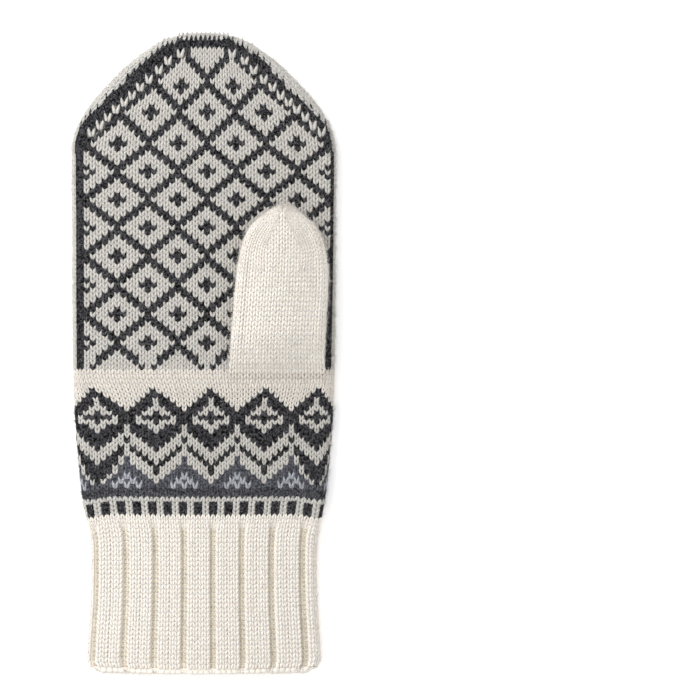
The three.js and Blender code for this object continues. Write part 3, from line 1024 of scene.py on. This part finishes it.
def make_cuff_knit():
    wales = np.arange(RIB_WALES * RIB_COUNT)
    last = (KNIT_TOP - MOUTH) / CUFF_ROW
    wale, row = grid(wales, np.arange(0.5, last - 0.9))
    sunken = (wale % RIB_WALES < 2) & (row > FIRST_PURL_ROW)
    # the sunken wales take the ivory yarn with the grooves' painted shade
    outside = stitches(cuff_surface, wale, row, np.where(sunken, "painted_groove_shade", "ivory"))
    knit_piece("cuff_knit", chosen(outside, ~sunken), chosen(outside, sunken))
    wale, row = grid(wales, last - 1.2 - np.arange(INSIDE_ROWS))
    inside = stitches(cuff_inside_surface, wale, row, ["ivory"] * len(wale), -1)
    sunken = wale % RIB_WALES < 2
    edges = [
        stitches(surface, wales, np.full(len(wales), last - 0.45), ["ivory"] * len(wales), facing)
        for surface, facing in ((cuff_surface, 1), (cuff_inside_surface, -1))
    ]
    wale, row = grid(wales, (0.22, 0.78))
    edges.append(stitches(cuff_lip_surface, wale, row, ["ivory"] * len(wale), -1, upward=False))
    edges[-1]["height"] *= 0.5
    knit_piece("cuff_edge", chosen(inside, sunken), joined([chosen(inside, ~sunken), *edges]))
    return outside


def thumb_straight_surface(wale, row, side):
    """The thumb below its tip. Wales run from its fold, 0, to its middle, 9, in line with the palm's."""
    y = row_y(row)
    half = row_at(THUMB_OUTLINE, y)[0]
    quarter = THUMB_FOLD * math.pi / 2
    arc = wale / THUMB_WALES * (quarter + half - THUMB_FOLD)
    turn = np.minimum(np.abs(arc) / THUMB_FOLD, math.pi / 2)
    folded = half - THUMB_FOLD * (1 - np.cos(turn)) - np.maximum(np.abs(arc) - quarter, 0)
    in_line = (THUMB_WALES - np.abs(wale)) * HAND_PITCH + side * 0.3
    across = np.minimum(lerp(in_line, folded, smoothstep(y, -14, 4)), half)
    rise = np.sign(arc) * np.sqrt(THUMB_FOLD**2 - np.maximum(THUMB_FOLD - (half - across), 0) ** 2)
    point = thumb_edge_surface(side * across, y, rise)
    palm = 2 * FOLD + palm_crown(point[..., 0], y)
    point[..., 2] = lerp(palm, point[..., 2], smoothstep(y, *THUMB_MERGE))
    return point


def thumb_rim_surface(wale, row, side):
    """The tip's side wales, which follow its fold."""
    q = np.clip(row * THUMB_ROW, 0, THUMB_EDGE["at"][-1])
    y = np.interp(q, THUMB_EDGE["at"], THUMB_EDGE["y"])
    return edge_point(THUMB_EDGE, side, wale * table(THUMB_SIDES, y) / THUMB_SIDE_WALES, q)


def thumb_middle_surface(wale, row, side):
    """The tip's middle wales, between the two lines of decreases."""
    y = THUMB_TIP_START + row * THUMB_ROW
    across = side * wale * THUMB_TIP_PITCH
    return np.stack([thumb_centre(y) + across, y, thumb_heights(across, y)[1]], axis=-1)


def make_thumb_knit():
    parts = []
    for side in (-1, 1):

        def knit(surface, wale, row, facing, side=side):
            # cream rows carry on from the palm, then the thumb's own ivory follows; ivory begins on the
            # rising root, whose slope faces away from the lamp, so its brightness there is partly painted
            # light over that shade
            yarns = np.where(row < -6, "cream", "ivory")
            parts.append(stitches(lambda w, r: surface(w, r, side), wale, row, yarns, facing))

        knit(thumb_straight_surface, *grid(np.arange(THUMB_WALES) + 0.5, np.arange(-8, 16)), -side)
        knit(thumb_straight_surface, *grid((-0.5, -1.5, -2.5), np.arange(-3, 16)), -side)
        rows = np.arange(0.6, THUMB_EDGE["at"][-1] / THUMB_ROW)
        knit(thumb_rim_surface, *grid(np.arange(-2, THUMB_SIDE_WALES) + 0.5, rows), -side)
        wale, row = grid((0.5, 1.5, 2.5), np.arange(0.6, 13))
        y = THUMB_TIP_START + row * THUMB_ROW
        half, start, end = THUMB_WEDGE["half"], THUMB_WEDGE["from"], THUMB_WEDGE["to"]
        keep = wale * THUMB_TIP_PITCH < np.where(y < start, half, half * (end - y) / (end - start))
        knit(thumb_middle_surface, wale[keep], row[keep], side)
    thumb = joined(parts)
    knit_piece("thumb_knit", thumb)
    return thumb


# The fabric's ground: closed shells under the stitches

def reach_at(outline, y, depth):
    """The largest x at which a point is still that deep inside an outline."""
    inside, outside = 0.0, float(row_at(outline, y)[0])
    if depth == 0:
        return outside
    for _ in range(24):
        middle = (inside + outside) / 2
        if depth_inside(outline, np.array([middle]), np.array([y]))[0] > depth:
            inside = middle
        else:
            outside = middle
    return inside


def stations(outline, y, radius, inset):
    """Places across a section, closer together in the folds."""
    edge = reach_at(outline, y, inset)
    flat = max(reach_at(outline, y, radius), 0.45 * edge)
    fold = flat + (edge - flat) * np.sin(np.arange(1, 7) / 6 * math.pi / 2)
    middle = np.linspace(-flat, flat, 25)
    return np.concatenate([-fold[::-1], middle, fold])


def section_ring(xs, y, heights, centre=0.0):
    """Over the top from left to right, and back along the bottom."""
    ys = np.full_like(xs, y)
    low, high = heights(xs, ys)
    top = np.stack([centre + xs, ys, high], axis=-1)
    bottom = np.stack([centre + xs, ys, np.minimum(low, high)], axis=-1)
    return np.concatenate([top, bottom[-2:0:-1]])


def ring_faces(rings, count, skip=()):
    """Triangles between neighbouring rings, and from the last ring back to the first."""
    faces = []
    k = np.arange(count)
    step = (k + 1) % count
    for i in range(rings):
        if i in skip:
            continue
        a, b = i * count, (i + 1) % rings * count
        faces.append(np.stack([a + k, a + step, b + step], axis=-1))
        faces.append(np.stack([a + k, b + step, b + k], axis=-1))
    return np.concatenate(faces)


def ground_piece(name, node, rings, yarn_of, skip=()):
    """A closed shell through rings, with a yarn for each triangle from its middle's place."""
    count = len(rings[0])
    points = np.concatenate(rings)
    faces = ring_faces(len(rings), count, skip)
    middles = points[faces].mean(axis=1)
    yarns = np.array([YARN_NAMES.index(yarn_of(*p)) for p in middles])
    piece = mesh_piece(name, points, faces, yarns)
    tidy = bmesh.new()
    tidy.from_mesh(piece.data)
    bmesh.ops.remove_doubles(tidy, verts=tidy.verts, dist=1e-6)
    bmesh.ops.recalc_face_normals(tidy, faces=tidy.faces)
    tidy.to_mesh(piece.data)
    tidy.free()
    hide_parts(node)


def cuff_rings():
    wales = np.arange(0, RIB_WALES * RIB_COUNT, 0.25)
    outer_ys = np.concatenate([MOUTH + np.array([0.9, 1.6, 3, 4.5, 6]), np.linspace(-126, CUFF_TOP, 40)])
    inner_ys = np.concatenate([np.linspace(CUFF_TOP, -126, 20), MOUTH + np.array([6, 3, 1.5, 0.9])])

    def ring(y, depth, ribbed):
        ys = np.full_like(wales, y)
        return cuff_depth_point(wales, ys, np.full_like(wales, depth), ribbed)

    outer = [ring(y, BASE_DEPTH, 1.0) for y in outer_ys]
    inner = [ring(y, CUFF_WALL, INNER_RIBS) for y in inner_ys]
    lip = [ring(MOUTH + 0.5, CUFF_WALL - 0.5, INNER_RIBS), ring(MOUTH + 0.5, BASE_DEPTH + 0.4, 0.8)]
    return outer + inner + lip


def mitten_ring(y, inset):
    xs = stations(MITTEN_OUTLINE, y, FOLD, inset)
    return section_ring(xs, y, lambda x, ys: mitten_heights(x, ys, inset))


def band_rings():
    ys = np.linspace(CUFF_TOP, BAND_TOP, 16)
    outer = [mitten_ring(y, BASE_DEPTH) for y in ys]
    return outer + [mitten_ring(y, HAND_WALL) for y in ys[::-1]]


def towards(start, tip, steps):
    return [tip - (tip - start) * (1 - k / steps) ** 2 for k in range(steps)]


def hand_rings():
    straight = list(np.linspace(BAND_TOP, TIP_START, 20))[:-1]
    rings = []
    for inset, turn in ((BASE_DEPTH, 1), (HAND_WALL, -1)):
        tip = TIP - inset
        ys = straight + towards(TIP_START, tip, 18)
        body = [mitten_ring(y, inset) for y in ys]
        point = np.tile([0, tip, FOLD], (len(body[0]), 1))
        rings.append((body + [point])[::turn])
    return rings[0] + rings[1]


def thumb_ring(y, inset):
    xs = stations(THUMB_OUTLINE, y, THUMB_FOLD, inset)

    def heights(x, ys):
        low, high = thumb_heights(x, ys, inset)
        palm = 2 * FOLD + palm_crown(thumb_centre(ys) + x, ys) - ROOT_DEPTH
        return low, lerp(palm, high, smoothstep(ys, *THUMB_MERGE))

    return section_ring(xs, y, heights, float(thumb_centre(y)))


def capped_body(name, rings, yarn):
    """A closed body through rings with a flat end at the first and last of them."""
    count = len(rings[0])
    points = np.concatenate(rings + [rings[0].mean(axis=0)[None], rings[-1].mean(axis=0)[None]])
    faces = ring_faces(len(rings), count, skip=(len(rings) - 1,))
    k = np.arange(count)
    step = (k + 1) % count
    last = (len(rings) - 1) * count
    first_cap = np.stack([step, k, np.full(count, len(points) - 2)], axis=-1)
    last_cap = np.stack([last + k, last + step, np.full(count, len(points) - 1)], axis=-1)
    faces = np.concatenate([faces, first_cap, last_cap])
    return mesh_piece(name, points, faces, np.full(len(faces), YARN_NAMES.index(yarn)))


def hand_ground_yarn(x, y, z):
    """Dark under the figures, where the other yarn runs behind the stitches."""
    if y < -7:
        return "cream"
    return "stone" if depth_inside(MITTEN_OUTLINE, x, y) < table(CREAM_EDGE, y) else "shade"


def make_grounds():
    """The shells, which replace the plain solids."""
    ground_piece("cuff_ground", "cuff", cuff_rings(), lambda x, y, z: "ivory")
    ground_piece("band_ground", "border_band", band_rings(), lambda x, y, z: "dusk")
    rings = hand_rings()
    ground_piece("hand_ground", "hand", rings, hand_ground_yarn, skip=(len(rings) // 2 - 1,))
    outer_ys = list(np.linspace(THUMB_ROOT, THUMB_TIP_START, 40))[:-1]
    outer_ys += towards(THUMB_TIP_START, THUMB[-1, 0] - 0.9, 12)
    body = capped_body("thumb_ground", [thumb_ring(y, THUMB_BASE_DEPTH) for y in outer_ys], "ivory")
    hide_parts("thumb")


# Stage

def make_camera():
    """Straight above the middle of the photograph's frame, which the mitten fills to the left."""
    data = bpy.data.cameras.new("camera")
    data.lens = LENS
    data.sensor_width = SENSOR
    camera = bpy.data.objects.new("camera", data)
    x, y = FRAME_MIDDLE
    camera.location = (x * MM, y * MM, (FOLD + FRAME_SIDE * LENS / SENSOR) * MM)
    bpy.context.scene.collection.objects.link(camera)
    bpy.context.scene.camera = camera


def make_stage():
    """A pale floor, a bright surround and one large soft light from the upper left."""
    mesh = bpy.data.meshes.new("floor")
    mesh.from_pydata([(-2, -2, 0), (2, -2, 0), (2, 2, 0), (-2, 2, 0)], [], [(0, 1, 2, 3)])
    floor = bpy.data.objects.new("floor", mesh)
    material = bpy.data.materials.new("paper")
    material.use_nodes = True
    shader = material.node_tree.nodes["Principled BSDF"]
    shader.inputs["Base Color"].default_value = (FLOOR_TONE, FLOOR_TONE, FLOOR_TONE, 1)
    shader.inputs["Roughness"].default_value = 0.8
    shader.inputs["Emission Color"].default_value = (1, 1, 1, 1)
    shader.inputs["Emission Strength"].default_value = FLOOR_GLOW
    mesh.materials.append(material)
    bpy.context.scene.collection.objects.link(floor)
    world = bpy.data.worlds.new("surround")
    world.use_nodes = True
    world.node_tree.nodes["Background"].inputs["Color"].default_value = (1, 1, 1, 1)
    world.node_tree.nodes["Background"].inputs["Strength"].default_value = SURROUND_STRENGTH
    bpy.context.scene.world = world
    light = bpy.data.lights.new("softbox", "AREA")
    light.shape = "SQUARE"
    light.size = LAMP["side"]
    light.energy = LAMP["power"]
    lamp = bpy.data.objects.new("softbox", light)
    lamp.location = LAMP["place"]
    lamp.rotation_euler = (-lamp.location).to_track_quat("-Z", "Y").to_euler()
    bpy.context.scene.collection.objects.link(lamp)
    bpy.context.scene.view_settings.view_transform = "Standard"


make_camera()
hand = make_hand_knit()
band = make_band_knit()
cuff = make_cuff_knit()
thumb = make_thumb_knit()
make_grounds()
for fuzz_name, fuzz_slot, part, fibres in (
    ("hand_fuzz", "hand_wool", hand, 20000),
    ("band_fuzz", "band_wool", band, 9000),
    ("cuff_fuzz", "cuff_wool", cuff, 9000),
    ("thumb_fuzz", "thumb_wool", thumb, 6000),
):
    fuzz_piece(fuzz_name, part, fibres)
make_stage()
